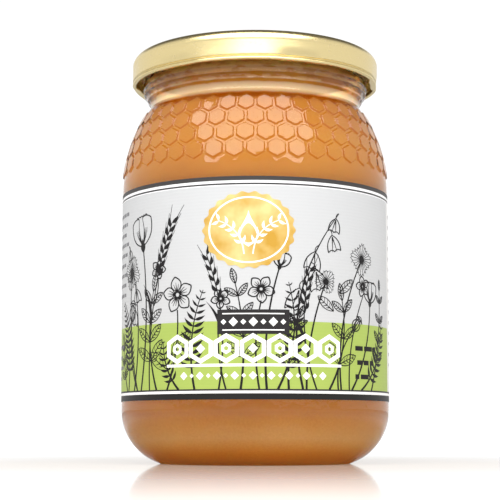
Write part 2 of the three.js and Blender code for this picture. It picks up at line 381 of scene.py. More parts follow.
def printed_paper():
    """Coated label paper with offset-printed fields: matt-smooth, with a faint laid texture of
    lines 0.9 mm apart under fields of grey-white and leaf green between ruled black lines. A
    wave of scale 1 repeats every 2 pi / 20 of a metre."""
    material, tree, place = new_material("printed_label_paper")
    layout = add(tree, "UVMap", {"uv_map": "print"})
    split = add(tree, "SeparateXYZ", {}, {0: layout}).outputs
    bands = add(tree, "ValToRGB", {}, {0: split["Y"]})
    plain = add(tree, "ValToRGB", {}, {0: split["Y"]})
    for tone, field in ((bands, None), (plain, PLAIN_FIELD)):
        tone.color_ramp.interpolation = "CONSTANT"
        set_stops(tone.color_ramp, [
            (max((height - LABEL_BOTTOM) / (LABEL_TOP - LABEL_BOTTOM), 0.0),
             field if field and LABEL_FIELDS[0] < height < LABEL_FIELDS[1] else code)
            for height, code in LABEL_BANDS])
    left_end, right_end = (end / (2 * math.pi * LABEL_RADIUS) + 0.5 for end in FRONT_PANEL)
    after_left = add(tree, "Math", {"operation": "GREATER_THAN", 1: left_end}, {0: split["X"]})
    before_right = add(tree, "Math", {"operation": "LESS_THAN", 1: right_end}, {0: split["X"]})
    front = add(tree, "Math", {"operation": "MULTIPLY"}, {0: after_left, 1: before_right})
    fields = add(tree, "Mix", {"data_type": "RGBA"}, {0: front, 6: plain, 7: bands})
    laid = add(tree, "TexWave", {
        "bands_direction": "Z", "Scale": 2 * math.pi / 20 / (0.9 * MM), "Distortion": 1.5, "Detail": 1.0,
    }, {"Vector": place}).outputs["Fac"]
    fibre = add(tree, "TexNoise", {"Scale": 1 / (1.2 * MM), "Detail": 3.0}, {"Vector": place})
    grain = add(tree, "Math", {"operation": "MULTIPLY"}, {0: laid, 1: fibre})
    shade = add(tree, "MapRange", {"To Min": 1.0, "To Max": 0.955}, {"Value": grain})
    colour = add(tree, "VectorMath", {"operation": "SCALE"}, {0: fields, "Scale": shade})
    bump = add(tree, "Bump", {"Strength": 0.1, "Distance": 0.05 * MM}, {"Height": grain})
    paper = add(tree, "BsdfPrincipled", {"Roughness": 0.45, "Specular IOR Level": 0.3}, {
        "Base Color": colour, "Normal": bump})
    add(tree, "OutputMaterial", {}, {"Surface": paper})
    return material


def printing_ink(name, code, roughness, spread):
    """A film of offset ink: even and satin, a little patchy where the paper shows through, in
    patches about 0.5 mm wide."""
    material, tree, place = new_material(name)
    patch = add(tree, "TexNoise", {"Scale": 1 / (0.5 * MM), "Detail": 2.0}, {"Vector": place})
    shade = add(tree, "MapRange", {"To Min": 1 - spread, "To Max": 1 + spread}, {"Value": patch})
    colour = add(tree, "VectorMath", {"operation": "SCALE", 0: linear(code)[:3]}, {"Scale": shade})
    ink = add(tree, "BsdfPrincipled", {"Roughness": roughness, "Specular IOR Level": 0.2}, {
        "Base Color": colour})
    add(tree, "OutputMaterial", {}, {"Surface": ink})
    return material


def gold_foil():
    """Hot-stamped gold foil: satin metal whose tone drifts between deep gold and straw in
    clouds about 8 mm wide, over the 0.4 mm tooth of the paper beneath."""
    material, tree, place = new_material("hot_stamped_gold_foil")
    cloud = add(tree, "TexNoise", {"Scale": 1 / (8 * MM), "Detail": 3.0}, {"Vector": place})
    tone = add(tree, "ValToRGB", {}, {0: cloud})
    set_stops(tone.color_ramp, [(0.32, "#D9A845"), (0.66, "#F7E09A")])
    tooth = add(tree, "TexNoise", {"Scale": 1 / (0.4 * MM), "Detail": 1.0}, {"Vector": place})
    bump = add(tree, "Bump", {"Strength": 0.25, "Distance": 0.05 * MM}, {"Height": tooth})
    foil = add(tree, "BsdfPrincipled", {"Metallic": 0.8, "Roughness": 0.42}, {
        "Base Color": tone, "Normal": bump})
    add(tree, "OutputMaterial", {}, {"Surface": foil})
    return material


GLASS = pressed_glass()
HONEY = creamed_honey()
GOLD = gold_lacquer()
LABEL_PAPER = printed_paper()
BLACK_INK = printing_ink("black_offset_ink", "#1C1A1B", 0.45, 0.35)
GREY_INK = printing_ink("grey_offset_ink", "#77777A", 0.5, 0.15)
DARK_INK = printing_ink("dark_panel_ink", "#2A2829", 0.45, 0.1)
WHITE_INK = printing_ink("opaque_white_ink", "#FCFCFA", 0.45, 0.02)
FOIL = gold_foil()


def on_shoulder(column, row, lift):
    """A point over the shoulder arc: a column is half a cell round the jar, a row one pitch of
    the cells up the arc, and the lift is added to the arc's radius."""
    angle = column * math.pi / CELLS_ROUND
    climb = FIRST_ROW_ANGLE + ROW_ANGLE * row
    radius = SHOULDER_AXIS + (SHOULDER_RADIUS + lift) * np.cos(climb)
    height = SHOULDER_HEIGHT + (SHOULDER_RADIUS + lift) * np.sin(climb)
    return np.stack([radius * np.sin(angle), -radius * np.cos(angle), height], -1)


def honeycomb_cells(side_steps):
    """All cells of the relief: hexagons inside one another, from the middle of the groove to the pad's
    middle. With inset the share of the way in, a point lies at (1 - inset) times the hexagon's edge from
    the cell's middle. The lift climbs between WALL_FOOT and PAD_EDGE, and on the pad it also makes up
    for the sag of the shoulder, so that each pad is flat. The climb gets painted shade, an amber tint of
    the root of 4 pad (1 - pad), with pad the share of the lift."""
    corners = np.array([(1, -1), (1, 1), (0, 2), (-1, 1), (-1, -1), (0, -2)]) / [1, math.sqrt(3)]
    part = np.arange(side_steps)[None, :, None] / side_steps
    edge = corners[:, None] + part * (np.roll(corners, -1, 0) - corners)[:, None]
    edge = edge.reshape(-1, 2)
    climb = np.linspace(0.125, 0.225, 5)
    inset = np.concatenate([[0, 0.05, 0.095], climb, [PAD_EDGE + 0.004, 0.29, 0.65, 1.0]])
    x = (1 - inset)[:, None] * edge[:, 0]
    y = (1 - inset)[:, None] * edge[:, 1]
    pad = smooth_step((inset - WALL_FOOT) / (PAD_EDGE - WALL_FOOT))[:, None]
    lift = GROOVE_LIFT + pad * (PAD_LIFT - GROOVE_LIFT + SAG_ASIDE * x ** 2 + SAG_UP * y ** 2)
    row = np.repeat(np.arange(CELL_ROWS), CELLS_ROUND)[:, None, None]
    column = 2 * np.tile(np.arange(CELLS_ROUND), CELL_ROWS)[:, None, None] + row % 2
    points = on_shoulder(column + x, row + y / math.sqrt(3), lift + 0 * column)
    cells, rows, around = points.shape[:3]
    start = np.arange(cells)[:, None, None] * rows * around
    faces = start + ring_faces(0, rows, around)[None]
    # Painted shade: amber tint on the pads' sides
    amber = np.repeat(CELL_PAINTED_SHADE * (4 * pad * (1 - pad)) ** 0.5, around, 1)
    return points.reshape(-1, 3), faces.reshape(-1, 4), np.tile(amber, (cells, 1, 1)).ravel()


def honeycomb_margin(side, side_steps):
    """The strip between the zigzag edge of the outermost cells and a plain ring, below the first row for
    side -1 and above the last for side 1. The zigzag stands 2 / 3 of a row from the cells' middles, less
    1 / 3 of the distance round from the nearest middle. The groove's lift ends evenly over the strip.
    The upper strip gets painted shade, an amber tint, which fades in its last quarter."""
    row = 0 if side < 0 else CELL_ROWS - 1
    column = np.arange(2 * CELLS_ROUND * side_steps) / side_steps
    away = abs((column - row % 2 + 1) % 2 - 1)
    zigzag = row + side * (2 - away) / 3
    share = np.array([0, 0.15, 0.4, 0.7, 1.0])[:, None]
    place = zigzag + share * (row + side * MARGIN_ROWS - zigzag)
    points = on_shoulder(column + 0 * place, place, GROOVE_LIFT * (1 - share) + 0 * place)
    # Painted shade: amber tint on the upper strip
    amber = smooth_step(4 - 4 * share) * (side > 0) + 0 * place
    return points, amber


def neck_profile(start, end, steps):
    """The neck as a radius for each height: a square of the distance below its narrowest place,
    a smooth rise above it to the finish, and a bell-shaped ring at each of the NECK_RINGS."""
    height = np.linspace(start, end, steps)
    below = np.clip(NECK_HEIGHT - height, 0, None)
    rise = (FINISH_RADIUS - NECK_RADIUS) * smooth_step((height - NECK_HEIGHT) / NECK_RISE)
    radius = NECK_RADIUS + NECK_FLARE * below ** 2 + rise
    for middle, half_width, reach in NECK_RINGS:
        radius = radius + reach * np.exp(-((height - middle) / half_width) ** 2)
    return np.stack([radius, height], -1)


def finish_relief(radius, angle, height):
    """What stands out of the finish: the screw thread, a rounded ridge about a height that climbs
    with the angle, one for each start, fading out at both ends of its turn; and on the neck the
    unevenness that the mould leaves, a product of sines of 17 and of 5 times the angle, which
    lean with the height."""
    waves = np.sin(17 * angle + 2.2 * height) * np.sin(5 * angle + height)
    near_neck = np.exp(-((height - NECK_MIDDLE) / NECK_HALF_HEIGHT) ** 2) * (radius > NECK_RADIUS - HAIR)
    along = (THREAD_STARTS * (angle + math.pi) / (2 * math.pi)) % 1
    across = (height - THREAD_FOOT - THREAD_CLIMB * along) / THREAD_HALF_WIDTH
    ridge = np.clip(1 - across ** 2, 0, 1) ** 1.2
    ends = smooth_step(6 * along) * smooth_step(6 * (1 - along))
    thread = np.where(radius > FINISH_RADIUS - HAIR, THREAD_DEPTH * ridge * ends, 0)
    return thread + NECK_WAVE * waves * near_neck


def inner_face(inset, steps):
    """Profile of the hollow from the axis up to the bore, inset from the glass by a distance: a
    low dome, the arc of the heel and the arc of the shoulder."""
    radius = BODY_RADIUS - WALL - inset
    floor = BASE + inset
    heel = INNER_HEEL_RADIUS - inset
    reach = SHOULDER_RADIUS - WALL - inset
    flat = np.linspace(0, radius - heel, 6)
    dome = floor + PUSH_UP * 0.8 * (1 - (flat / (radius - heel)) ** 2)
    end = math.degrees(math.acos((BORE_RADIUS - inset - SHOULDER_AXIS) / reach))
    return np.concatenate([
        np.stack([flat, dome], -1),
        arc((radius - heel, floor + heel), heel, -90, 0, steps)[1:],
        arc((SHOULDER_AXIS, SHOULDER_HEIGHT), reach, 0, end, steps),
    ])


def jar_below_relief():
    """Profile of the glass from the middle of its base up to the relief: the dome of the
    push-up, the flat foot, the arc of the heel, the body, and the start of the shoulder."""
    foot = np.linspace(0, FOOT_INNER_RADIUS, 9)
    dome = PUSH_UP * (1 - (foot / FOOT_INNER_RADIUS) ** 2)
    heel_centre = (BODY_RADIUS - HEEL_RADIUS, HEEL_HEIGHT)
    heel_start = -math.degrees(math.acos((FOOT_RADIUS - heel_centre[0]) / HEEL_RADIUS))
    relief_start = math.degrees(FIRST_ROW_ANGLE - MARGIN_ROWS * ROW_ANGLE)
    return np.concatenate([
        np.stack([foot, dome], -1),
        [[FOOT_INNER_RADIUS + 0.4, 0], [FOOT_RADIUS - 0.3, 0]],
        arc(heel_centre, HEEL_RADIUS, heel_start, 0, 26),
        arc((SHOULDER_AXIS, SHOULDER_HEIGHT), SHOULDER_RADIUS, 0, relief_start - 0.3, 3),
    ])


def jar_above_relief():
    """Profile of the glass from the relief over the neck, the finish and the rounded rim, and
    down the hollow to the middle of its floor."""
    relief_end = math.degrees(FIRST_ROW_ANGLE + (CELL_ROWS - 1 + MARGIN_ROWS) * ROW_ANGLE)
    centre = (SHOULDER_AXIS, SHOULDER_HEIGHT)
    shoulder = arc(centre, SHOULDER_RADIUS, relief_end + 0.3, relief_end + 0.6, 1)
    rim = RIM_HEIGHT - RIM_ROUNDING
    finish = np.linspace(FINISH_FOOT, rim - 0.3, 22)
    return np.concatenate([
        shoulder,
        neck_profile(shoulder[-1, 1] + 0.1, FINISH_FOOT - 0.15, 52),
        np.stack([np.full(len(finish), FINISH_RADIUS), finish], -1),
        arc((FINISH_RADIUS - RIM_ROUNDING, rim), RIM_ROUNDING, 0, 90, 5),
        arc((BORE_RADIUS + RIM_ROUNDING, rim), RIM_ROUNDING, 90, 180, 5),
        inner_face(0, 12)[::-1],
    ])


def painted_shade_at_foot(height):
    """Painted shade as an amber tint that comes in smoothly downwards, except where the glass meets the
    floor.
    """
    return FOOT_PAINTED_SHADE * smooth_step((FOOT_PAINTED_SHADE_TOP - height) / FOOT_PAINTED_SHADE_FADE) * (height > HAIR)


def painted_shade_on_neck(radius, height):
    """Painted shade as an amber tint where the neck widens upwards: the change of radius over the change
    of height.
    """
    slope = np.gradient(radius) / np.maximum(abs(np.gradient(height)), 0.02)
    on_neck = (height > NECK_HEIGHT) & (height < FINISH_FOOT) & (radius > NECK_RADIUS - HAIR)
    return np.clip(slope, 0, 1) * on_neck


def glass_jar():
    """The jar in one closed surface: plain rings below and above, and between them the shoulder with its
    honeycomb, which has twice as many points round as the plain rings. Its attribute holds painted shade
    for each point: how much amber tint it has."""
    steps = 5
    coarse = CELLS_ROUND * steps
    fine = 2 * coarse
    low, high = jar_below_relief(), jar_above_relief()
    low_rings = rings(low[1:], coarse)
    high_rings = rings(high[:-1], coarse, finish_relief)
    low_margin, low_amber = honeycomb_margin(-1, steps)
    high_margin, high_amber = honeycomb_margin(1, steps)
    cells, cell_faces, cell_amber = honeycomb_cells(steps)
    blocks = [
        np.array([[0, 0, low[0, 1]]]), low_rings.reshape(-1, 3), low_margin[::-1].reshape(-1, 3),
        cells, high_margin.reshape(-1, 3), high_rings.reshape(-1, 3), np.array([[0, 0, high[-1, 1]]]),
    ]
    first = np.cumsum([0] + [len(block) for block in blocks])
    faces = [
        pole_faces(0, 1, coarse, False),
        ring_faces(first[1], len(low_rings), coarse),
        stitch_faces(first[2] - coarse, first[2], coarse, True),
        ring_faces(first[2], len(low_margin), fine),
        cell_faces + first[3],
        ring_faces(first[4], len(high_margin), fine),
        stitch_faces(first[5], first[5] - fine, coarse, False),
        ring_faces(first[5], len(high_rings), coarse),
        pole_faces(first[6], first[6] - coarse, coarse, True),
    ]
    # Painted shade for each point: amber tint at the foot, the margins, the pads' sides and the neck
    amber = [
        [0], painted_shade_at_foot(low_rings[..., 2]).ravel(), low_amber[::-1].ravel(), cell_amber,
        high_amber.ravel(), np.repeat(painted_shade_on_neck(*high[:-1].T), coarse), [0],
    ]
    made = piece("glass_jar_pressed", np.concatenate(blocks), faces, GLASS)
    held = made.data.attributes.new("painted_shade_on_glass", "FLOAT", "POINT")
    held.data.foreach_set("value", np.concatenate(amber))
    joined = bmesh.new()
    joined.from_mesh(made.data)
    bmesh.ops.remove_doubles(joined, verts=joined.verts, dist=2e-6)
    joined.to_mesh(made.data)
    joined.free()
    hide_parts("glass_jar")


def honey_fill():
    """The honey: the profile of the hollow, a little into the wall, closed by a level top that
    climbs to the glass at its edge and falls off from there as a power of e."""
    wall = inner_face(-INTO_WALL, 24)
    edge = BORE_RADIUS + INTO_WALL
    radius = np.linspace(edge, 0, 14)
    top = HONEY_LEVEL + MENISCUS * np.exp((radius - edge) / MENISCUS_WIDTH)
    profile = np.concatenate([wall[:-1], [[edge, wall[-1, 1]]], np.stack([radius, top], -1)])
    made = turned("honey_fill", profile, 6 * CELLS_ROUND, HONEY)
    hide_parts("honey")


def lid_shape(radius, angle, height):
    """The lid's departures from round: six lugs where the curl is pressed inwards, which also
    draws in the skirt over them, and small bell-shaped dents in the skirt at the left end."""
    turns = (angle - LUG_TURN) / LUG_PITCH
    from_lug = LUG_PITCH * abs(turns - np.round(turns)) / LUG_HALF_WIDTH
    lug = smooth_step(1.7 - from_lug)
    curl = smooth_step((CURL_TOP + 0.3 - height) / 0.5)
    inner = smooth_step((LID_RADIUS - CURL_RADIUS + 0.1 - radius) / 0.3)
    drawn = smooth_step((CURL_TOP + 3.0 - height) / 3.2)
    moved = -lug * (LUG_DEPTH * curl * inner + LUG_DRAW * drawn * (1 - inner))
    for dent_angle, dent_height, size, depth in DENTS:
        wrapped = (angle - dent_angle + math.pi) % (2 * math.pi) - math.pi
        away = ((wrapped * LID_RADIUS) ** 2 + ((height - dent_height) / 1.3) ** 2) / size ** 2
        moved = moved - depth * np.exp(-away) * (radius > LID_RADIUS - 1)
    return moved


def lug_cap():
    """The twist-off lid as a turned sheet: recessed panel with a ring step, rounded shoulder,
    straight skirt, a fine groove, the rolled curl, and the same way back inside."""
    shoulder = (LID_RADIUS - LID_SHOULDER, LID_HEIGHT - LID_SHOULDER)
    curl = (LID_RADIUS - CURL_RADIUS + 0.05, LID_BOTTOM + CURL_RADIUS)
    panel = LID_HEIGHT - PANEL_DROP
    under_panel = panel - LID_METAL - 0.2
    step = np.array([(-1.0, 0), (-0.5, -0.03), (0, -0.12), (0.5, -0.22), (1.0, -PANEL_STEP)])
    skirt = np.linspace(shoulder[1], CURL_TOP + 0.45, 24)[1:]
    groove = np.array([(-0.05, 0.4), (-0.28, 0.3), (-0.42, 0.14), (-0.4, 0.02)])
    outer = np.concatenate([
        [[0, panel]],
        step + [0.52 * PANEL_RADIUS, panel],
        [[PANEL_RADIUS - 1.2, panel - PANEL_STEP]],
        arc((PANEL_RADIUS - 0.6, panel + 0.35), 0.6, -90, -20, 5),
        arc((PANEL_RADIUS + 1.3, LID_HEIGHT - 0.7), 0.7, 150, 90, 5),
        arc(shoulder, LID_SHOULDER, 90, 0, 14),
        np.stack([LID_RADIUS - 0.05 * smooth_step((skirt - CURL_TOP) / 3.5), skirt], -1),
        groove + [LID_RADIUS, CURL_TOP],
        arc(curl, CURL_RADIUS, 70, -205, 18),
    ])
    inner = np.concatenate([
        [[LID_RADIUS - LID_METAL - 0.1, CURL_TOP + 0.5], [LID_RADIUS - LID_METAL, CURL_TOP + 0.9]],
        arc(shoulder, LID_SHOULDER - LID_METAL, 0, 90, 6),
        [[PANEL_RADIUS + 1.2, LID_HEIGHT - LID_METAL], [PANEL_RADIUS - 0.2, under_panel]],
        [[0, under_panel]],
    ])
    profile = np.concatenate([outer, inner])[::-1]
    made = turned("lug_cap", profile, 288, GOLD, lid_shape)
    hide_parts("lid")


def on_label(across, height, proud):
    """A point of the label's plane, rolled on to the body: the angle is the distance round from
    the middle of the front over the label's radius."""
    angle = across / LABEL_RADIUS
    radius = LABEL_RADIUS + proud
    return np.stack([radius * np.sin(angle), -radius * np.cos(angle), height + 0 * angle], -1)


def label_sleeve():
    """The paper: a strip rolled round the body, with a thickness, and open at its seam. Its UV
    map holds the distance round and the height, both from 0 to 1."""
    angle = np.linspace(LABEL_SEAM[1] - 2 * math.pi, LABEL_SEAM[0], 361)
    columns = len(angle)
    corners = [(0, LABEL_BOTTOM), (0, LABEL_TOP), (-PAPER, LABEL_TOP), (-PAPER, LABEL_BOTTOM)]
    points = np.concatenate([
        on_label(angle * LABEL_RADIUS, np.full(columns, height), proud) for proud, height in corners
    ])
    j = np.arange(columns - 1)
    first = np.arange(4) * columns
    sides = [
        np.stack([here + j, here + j + 1, next_row + j + 1, next_row + j], -1)
        for here, next_row in zip(first, np.roll(first, -1))
    ]
    ends = np.stack([first, first[::-1] + columns - 1])
    made = piece("label_paper", points, [*sides, ends], LABEL_PAPER)
    made.data.set_sharp_from_angle(angle=math.radians(40))
    layout = made.data.uv_layers.new(name="print")
    corner = np.empty(len(made.data.loops), np.int32)
    made.data.loops.foreach_get("vertex_index", corner)
    across = np.tile(angle / (2 * math.pi) + 0.5, 4)[corner]
    up = np.repeat([0.0, 1.0, 1.0, 0.0], columns)[corner]
    layout.data.foreach_set("uv", np.stack([across, up], -1).ravel())
    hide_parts("label")


# A stroke is a row of STROKE points and their widths, on the label's plane, in
# millimetres. The widths of the drawing are multiplied by PEN_WEIGHT. In each
# plant a pair of numbers is the width of a stroke at its start and its end, and
# the others are degrees or shares of the plant's size or of its stem.
STROKE = 13
PEN_WEIGHT = 1.2
ALONG = np.linspace(0, 1, STROKE)
UP = np.array([0, 1.0])


def left_of(way):
    """A direction turned anticlockwise by a quarter."""
    return np.array([-way[1], way[0]])


def turned_by(way, degrees):
    """A direction turned anticlockwise."""
    return math.cos(math.radians(degrees)) * way + math.sin(math.radians(degrees)) * left_of(way)


def line(start, end, bend=0.0, width=(0.3, 0.3)):
    """A curved stroke: the straight way from start to end, pushed to its left by bend times its
    length times 4 t (1 - t). Its width goes evenly from the first to the second."""
    start, end = np.array(start, float), np.array(end, float)
    way = end - start
    points = start + ALONG[:, None] * way + (4 * bend * ALONG * (1 - ALONG))[:, None] * left_of(way)
    return points, width[0] + (width[1] - width[0]) * ALONG


def blade(start, end, breadth, bend=0.0):
    """A solid leaf or grain: a curved stroke whose width swells and closes as a power of the
    sine of the way along."""
    points, _ = line(start, end, bend)
    return points, 0.06 + breadth * np.sin(math.pi * ALONG ** 0.8) ** 1.3


def along(stroke, t):
    """The point and the direction at a part t of a stroke."""
    points = stroke[0]
    place = t * (STROKE - 1)
    k = min(int(place), STROKE - 2)
    way = points[k + 1] - points[k]
    return points[k] + (place - k) * way, way / np.linalg.norm(way)


def stalk(base, tip, bend, width):
    """A bare stem, for a bloom or leaf that is drawn on its own."""
    return [line(base, tip, bend, width)]


def outlined_leaf(start, end, breadth=0.2, shade=1):
    """A leaf drawn with a pen: two bowed edges, a midrib, side veins, and hatching on one half."""
    start, end = np.array(start, float), np.array(end, float)
    way = end - start
    strokes = [
        line(start, end, breadth, (0.16, 0.26)), line(start, end, -breadth, (0.26, 0.16)),
        line(start, start + 0.92 * way, 0.02, (0.28, 0.12)),
    ]
    for t in (0.25, 0.42, 0.6, 0.76):
        rib = start + t * way
        for half in (1, -1):
            reach = 0.82 * 4 * breadth * t * (1 - t)
            tip = rib + 0.13 * way + half * reach * left_of(way)
            heavy = 0.3 if half == shade else 0.13
            strokes.append(line(rib, tip, 0.08 * half, (heavy, 0.1)))
    return strokes


def fern(base, tip, bend, pairs, size):
    """A frond: a curved rib with pairs of solid leaflets that shorten towards both ends."""
    rib = line(base, tip, bend, (0.55, 0.16))
    strokes = [rib]
    for t in np.linspace(0.22, 0.97, pairs):
        at, way = along(rib, t)
        length = size * math.sin(math.pi * (0.25 + 0.72 * t)) ** 0.7
        for half in (1, -1):
            end = at + length * turned_by(way, half * 58)
            strokes.append(blade(at, end, 0.2 * length, 0.08 * half))
    return strokes


def grass_ear(base, tip, bend, grains, size):
    """A stem of grass with an ear: grains in two rows near the tip, each with a fine awn."""
    stem = line(base, tip, bend, (0.42, 0.2))
    strokes = [stem]
    for k, t in enumerate(np.linspace(0.68, 1.0, grains)):
        at, way = along(stem, t)
        half = 1 if k % 2 else -1
        end = at + size * turned_by(way, half * 24)
        strokes.append(blade(at, end, 0.3 * size, 0.12 * half))
        strokes.append(line(end, end + 1.1 * size * turned_by(way, half * 12), 0.0, (0.14, 0.08)))
    at, way = along(stem, 0.35)
    strokes.append(blade(at, at + 4.5 * size * turned_by(way, 22), 0.28 * size, -0.1))
    return strokes


def seed_clock(base, tip, bend, radius, rays):
    """A seed head: a stem that ends in a ball of rays, each with a small fork at its end."""
    centre = np.array(tip, float)
    strokes = [line(base, tip, bend, (0.5, 0.3)), blade(centre - [0.5, 0.5], centre + [0.5, 0.5], 1.1)]
    for k in range(rays):
        way = turned_by(UP, 360 * k / rays + 7)
        end = centre + radius * (0.86 + 0.14 * math.sin(5.3 * k)) * way
        strokes.append(line(centre + 0.5 * way, end, 0.0, (0.2, 0.1)))
        for half in (1, -1):
            strokes.append(line(end, end + 0.2 * radius * turned_by(way, half * 42), 0, (0.18, 0.12)))
    return strokes


def poppy(base, tip, bend, size):
    """A cup-shaped bloom on a long stem: two outer petals, a ruffled inner one, and pen shading
    that fans out of the middle."""
    stem = line(base, tip, bend, (0.55, 0.32))
    at, way = along(stem, 1.0)
    strokes = [stem]
    left, right = turned_by(way, 62), turned_by(way, -62)
    for side, half in ((left, 1), (right, -1)):
        edge = at + size * (0.75 * side + 0.62 * way)
        inner = at + size * (1.02 * way + 0.12 * side)
        strokes += [line(at, edge, 0.22 * half), line(edge, inner, 0.16 * half, (0.3, 0.2))]
        strokes.append(line(at, inner, 0.1 * half, (0.3, 0.16)))
        for part in (0.25, 0.45, 0.65, 0.85):
            rim = part * (edge - at) + (1 - part) * (inner - at)
            strokes.append(line(at + 0.12 * rim, at + 0.66 * rim, 0.05 * half, (0.26, 0.08)))
    ruffle = 0.085 * size * (right - left)
    for k in range(-2, 3):
        crest = at + 1.12 * size * way + k * ruffle
        strokes.append(line(crest, crest + ruffle, 0.3, (0.22, 0.22)))
    strokes.append(blade(at - 0.25 * size * way, at + 0.3 * size * way, 0.24 * size))
    return strokes


def bells(base, tip, bend, count, size):
    """An arching stem hung with bells: each is two bowed sides, a waved hem and two folds."""
    stem = line(base, tip, bend, (0.55, 0.2))
    strokes = [stem]
    for k, t in enumerate(np.linspace(0.58, 1.0, count)):
        at, _ = along(stem, t)
        half = 1 if k % 2 else -1
        scale = size * (1.12 - 0.1 * k)
        top = at + 0.35 * scale * np.array([0.7 * half, -1])
        axis = turned_by(-UP, 12 * half)
        hem = top + scale * axis
        strokes.append(line(at, top, 0.2 * half, (0.2, 0.2)))
        for side in (1, -1):
            across = scale * side * left_of(axis)
            corner = hem + 0.46 * across
            strokes.append(line(top, corner, 0.16 * side, (0.22, 0.28)))
            strokes.append(line(hem, corner, 0.25 * side, (0.26, 0.2)))
            strokes.append(line(top + 0.1 * scale * axis, hem + 0.17 * across, 0, (0.3, 0.1)))
    return strokes


def rose(centre, radius, turn):
    """An open blossom seen from the front: petals of two bowed edges, with folds out of the
    middle, and a ring of stamens."""
    centre = np.array(centre, float)
    petals, stamens = 5, 15
    strokes = []
    for k in range(petals):
        way = turned_by(UP, turn + 360 * k / petals)
        root = centre + 0.16 * radius * way
        for side in (1, -1):
            strokes.append(line(root, centre + radius * way, 0.4 * side, (0.2, 0.32)))
            fold = centre + radius * (0.6 * way + 0.16 * side * left_of(way))
            strokes.append(line(root, fold, 0.04 * side, (0.3, 0.08)))
        strokes.append(line(root, centre + 0.68 * radius * way, 0, (0.3, 0.08)))
    for k in range(stamens):
        way = turned_by(UP, 360 * k / stamens + 5)
        strokes.append(blade(centre + 0.1 * radius * way, centre + 0.3 * radius * way, 0.3))
    return strokes


def sprig(base, tip, bend, pairs, size):
    """A leafy stem: pairs of pen-drawn leaves that shorten upwards, and one at the tip."""
    stem = line(base, tip, bend, (0.55, 0.22))
    strokes = [stem]
    for t in np.linspace(0.3, 0.88, pairs):
        at, way = along(stem, t)
        length = size * (1.1 - 0.45 * t)
        for half in (1, -1):
            strokes += outlined_leaf(at, at + length * turned_by(way, half * 48), shade=half)
    at, way = along(stem, 1.0)
    return strokes + outlined_leaf(at, at + 0.7 * size * way)


def seed_pod(base, tip, bend, size):
    """A dry pod on a stem: a ribbed urn with a flat crown."""
    stem = line(base, tip, bend, (0.45, 0.3))
    at, way = along(stem, 1.0)
    across = size * left_of(way)
    top = at + 1.2 * size * way
    strokes = [stem]
    for side in (-1, -0.5, 0, 0.5, 1):
        strokes.append(line(at, top + 0.12 * side * across, 0.34 * side, (0.3, 0.24)))
    strokes.append(line(top - 0.48 * across, top + 0.48 * across, -0.1, (0.34, 0.34)))
    strokes.append(line(top - 0.4 * across, top + 0.4 * across, -0.35, (0.24, 0.24)))
    return strokes


def ribbons(name, strokes, material, proud):
    """Strokes of ink as thin closed bands: each point gets a left and a right edge, half the
    width away at a right angle to the stroke, both over the label's face and inside its paper."""
    centre = np.array([s[0] for s in strokes])
    width = np.array([s[1] for s in strokes])
    way = np.gradient(centre, axis=1)
    way /= np.maximum(np.linalg.norm(way, axis=-1, keepdims=True), 1e-9)
    side = np.stack([-way[..., 1], way[..., 0]], -1) * width[..., None] / 2
    left, right = centre + side, centre - side
    corners = [(right, proud), (left, proud), (left, -PAPER / 2), (right, -PAPER / 2)]
    points = np.stack([on_label(p[..., 0], p[..., 1], lift) for p, lift in corners], 2)
    count, length = centre.shape[:2]
    start = (np.arange(count) * length * 4)[:, None, None]
    step = (np.arange(length - 1) * 4)[None, :, None]
    edge = np.arange(4)[None, None, :]
    here, turn = start + step + edge, start + step + (edge + 1) % 4
    sides = np.stack([here, here + 4, turn + 4, turn], -1).reshape(-1, 4)
    first = start[:, 0] + np.arange(4)
    last = (first + (length - 1) * 4)[:, ::-1]
    made = piece(name, points, [sides, first, last], material)
    made.data.shade_flat()


def hexagon_ring(centre, radius, width):
    """A closed pointed hexagon as one stroke through its corners and the middles of its sides."""
    turn = np.arange(STROKE) * math.pi / 6 - math.pi / 3
    at_corner = np.arange(STROKE) % 2 == 1
    reach = np.where(at_corner, radius, radius * math.cos(math.pi / 6))
    points = np.array(centre) + reach[:, None] * np.stack([np.cos(turn), np.sin(turn)], -1)
    return points, np.where(at_corner, width / math.cos(math.pi / 6), width)


def bar(left, right, height, thick):
    """A straight bar of ink, in runs of at most 9 mm so that it keeps to the round label."""
    ends = np.linspace(left, right, int((right - left) / 9) + 2)
    return [line((a - 0.02, height), (b + 0.02, height), 0.0, (thick, thick))
            for a, b in zip(ends[:-1], ends[1:])]


def lozenge(centre, size):
    """A small solid lozenge: a stroke that widens and narrows evenly."""
    points, _ = line((centre[0] - size / 2, centre[1]), (centre[0] + size / 2, centre[1]))
    return points, 0.05 + size * (1 - abs(2 * ALONG - 1))


